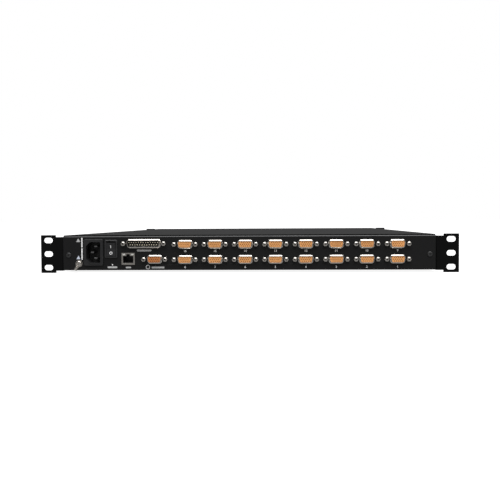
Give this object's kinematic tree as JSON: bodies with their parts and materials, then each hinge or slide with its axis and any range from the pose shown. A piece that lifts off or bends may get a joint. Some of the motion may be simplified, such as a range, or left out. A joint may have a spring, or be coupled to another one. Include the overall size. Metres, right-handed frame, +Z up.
{
  "type": "rack-mount kvm switch console",
  "caption": "Rack-mount housing with rows of D-sub computer ports at the rear and a pull-out drawer holding a keyboard and a folding screen.",
  "frame": {"origin": "centre of the four outer rack slots of the front ears, on the face that meets the rack posts", "axes": "+Z up; front and drawer towards -Y; rear panel with the ports towards +Y; +X to the right of someone facing the front"},
  "size_m": [0.4826, 1.108, 0.0442],
  "materials": {
    "black_steel": "fine satin black powder coat",
    "zinc_steel": "bright zinc plate",
    "nickel_steel": "satin nickel plate",
    "black_screws": "black zinc",
    "black_plastic": "fine grained black",
    "grey_plastic": "dark grey",
    "key_plastic": "satin black key caps",
    "orange_plastic": "orange moulding",
    "copper_plastic": "deeper orange moulding",
    "gold_contacts": "gold flash",
    "circuit_board": "green solder mask",
    "dark_components": "moulded packages",
    "lamp_lens": "diffused lens",
    "white_print": "white screen-printed ink",
    "screen_glass": "dark display panel"
  },
  "bodies": {
    "housing": {"board_parts": "dark_components", "board_standoffs": "nickel_steel", "case_screws": "black_screws", "chassis_pan": "black_steel", "console_port_moulding": "copper_plastic", "console_port_shell": "nickel_steel", "daisy_port_moulding": "black_plastic", "daisy_port_pins": "gold_contacts", "daisy_port_shell": "nickel_steel", "divider_wall": "zinc_steel", "front_ear_left": "black_steel", "front_ear_right": "black_steel", "ground_lug": "nickel_steel", "ground_screw": "nickel_steel", "inlet_blades": "nickel_steel", "inlet_body": "black_plastic", "jackscrews": "nickel_steel", "kvm_port_mouldings": "orange_plastic", "kvm_port_shells": "nickel_steel", "main_board": "circuit_board", "network_jack_insert": "black_plastic", "network_jack_lamps": "lamp_lens", "network_jack_shield": "nickel_steel", "outer_rails": "zinc_steel", "rear_panel": "black_steel", "rocker_frame": "black_plastic", "side_screws": "black_screws", "supply_board": "circuit_board", "top_cover": "black_steel"},
    "rear_bracket_left": {"rear_bracket_left": "black_steel"},
    "rear_bracket_right": {"rear_bracket_right": "black_steel"},
    "rocker": {"rocker_button": "black_plastic"},
    "middle_rails": {"middle_rails": "zinc_steel"},
    "drawer": {"inner_rails": "zinc_steel", "drawer_tray": "black_steel", "front_bezel": "black_plastic", "pull_handle": "black_steel", "keyboard_frame": "black_plastic", "touchpad": "grey_plastic", "hinge_brackets": "zinc_steel", "control_deck": "black_plastic", "port_lamps": "lamp_lens"},
    "lid": {"lcd_back_cover": "black_plastic", "lcd_front_frame": "black_plastic", "lcd_screen": "screen_glass", "hinge_knuckles": "zinc_steel"},
    "function_keys": {"function_keys": "key_plastic"},
    "typing_keys": {"typing_keys": "key_plastic"},
    "space_row_keys": {"space_row_keys": "key_plastic"},
    "numpad_keys": {"numpad_keys": "key_plastic"},
    "touchpad_left_button": {"touchpad_left_button": "grey_plastic"},
    "touchpad_right_button": {"touchpad_right_button": "grey_plastic"},
    "port_down_button": {"port_down_button": "grey_plastic"},
    "port_up_button": {"port_up_button": "grey_plastic"},
    "lcd_menu_button": {"lcd_menu_button": "grey_plastic"},
    "lcd_adjust_button": {"lcd_adjust_button": "grey_plastic"},
    "lcd_power_button": {"lcd_power_button": "grey_plastic"},
    "latch_left": {"latch_left": "grey_plastic"},
    "latch_right": {"latch_right": "grey_plastic"}
  },
  "joints": [
    {"name": "drawer_slide", "type": "slide", "parent": "housing", "child": "drawer", "axis": [0, -1, 0], "range_m": [-0.4, 0]},
    {"name": "middle_rails_slide", "type": "slide", "parent": "housing", "child": "middle_rails", "axis": [0, -1, 0], "range_m": [-0.2, 0]},
    {"name": "lid_hinge", "type": "hinge", "parent": "drawer", "child": "lid", "pos_m": [0, -0.022, 0.0075], "axis": [-1, 0, 0], "range_deg": [0, 110]},
    {"name": "rear_bracket_left_slide", "type": "slide", "parent": "housing", "child": "rear_bracket_left", "axis": [0, 1, 0], "range_m": [0, 0.06]},
    {"name": "rear_bracket_right_slide", "type": "slide", "parent": "housing", "child": "rear_bracket_right", "axis": [0, 1, 0], "range_m": [0, 0.06]},
    {"name": "power_rocker", "type": "hinge", "parent": "housing", "child": "rocker", "pos_m": [0.1584, 0.6684, 0.0059], "axis": [1, 0, 0], "range_deg": [0, 16]},
    {"name": "latch_right_slide", "type": "slide", "parent": "drawer", "child": "latch_right", "axis": [1, 0, 0], "range_m": [0, 0.002]},
    {"name": "latch_left_slide", "type": "slide", "parent": "drawer", "child": "latch_left", "axis": [-1, 0, 0], "range_m": [0, 0.002]},
    {"name": "function_keys_press", "type": "slide", "parent": "drawer", "child": "function_keys", "axis": [0, 0, -1], "range_m": [0, 0.003], "stiffness_N_per_m": 800, "springref_m": -0.0015},
    {"name": "typing_keys_press", "type": "slide", "parent": "drawer", "child": "typing_keys", "axis": [0, 0, -1], "range_m": [0, 0.003], "stiffness_N_per_m": 2000, "springref_m": -0.002},
    {"name": "space_row_keys_press", "type": "slide", "parent": "drawer", "child": "space_row_keys", "axis": [0, 0, -1], "range_m": [0, 0.003], "stiffness_N_per_m": 800, "springref_m": -0.0015},
    {"name": "numpad_keys_press", "type": "slide", "parent": "drawer", "child": "numpad_keys", "axis": [0, 0, -1], "range_m": [0, 0.003], "stiffness_N_per_m": 1000, "springref_m": -0.0015},
    {"name": "touchpad_left_button_press", "type": "slide", "parent": "drawer", "child": "touchpad_left_button", "axis": [0, 0, -1], "range_m": [0, 0.001], "stiffness_N_per_m": 300, "springref_m": -0.001},
    {"name": "touchpad_right_button_press", "type": "slide", "parent": "drawer", "child": "touchpad_right_button", "axis": [0, 0, -1], "range_m": [0, 0.001], "stiffness_N_per_m": 300, "springref_m": -0.001},
    {"name": "port_down_button_press", "type": "slide", "parent": "drawer", "child": "port_down_button", "axis": [0, 0, -1], "range_m": [0, 0.001], "stiffness_N_per_m": 300, "springref_m": -0.001},
    {"name": "port_up_button_press", "type": "slide", "parent": "drawer", "child": "port_up_button", "axis": [0, 0, -1], "range_m": [0, 0.001], "stiffness_N_per_m": 300, "springref_m": -0.001},
    {"name": "lcd_menu_button_press", "type": "slide", "parent": "lid", "child": "lcd_menu_button", "axis": [0, 0, 1], "range_m": [0, 0.001], "stiffness_N_per_m": 200, "springref_m": -0.001},
    {"name": "lcd_adjust_button_press", "type": "slide", "parent": "lid", "child": "lcd_adjust_button", "axis": [0, 0, 1], "range_m": [0, 0.001], "stiffness_N_per_m": 200, "springref_m": -0.001},
    {"name": "lcd_power_button_press", "type": "slide", "parent": "lid", "child": "lcd_power_button", "axis": [0, 0, 1], "range_m": [0, 0.001], "stiffness_N_per_m": 200, "springref_m": -0.001}
  ],
  "couplings": [
    {"joint": "middle_rails_slide", "follows": "drawer_slide", "ratio": 0.5}
  ]
}
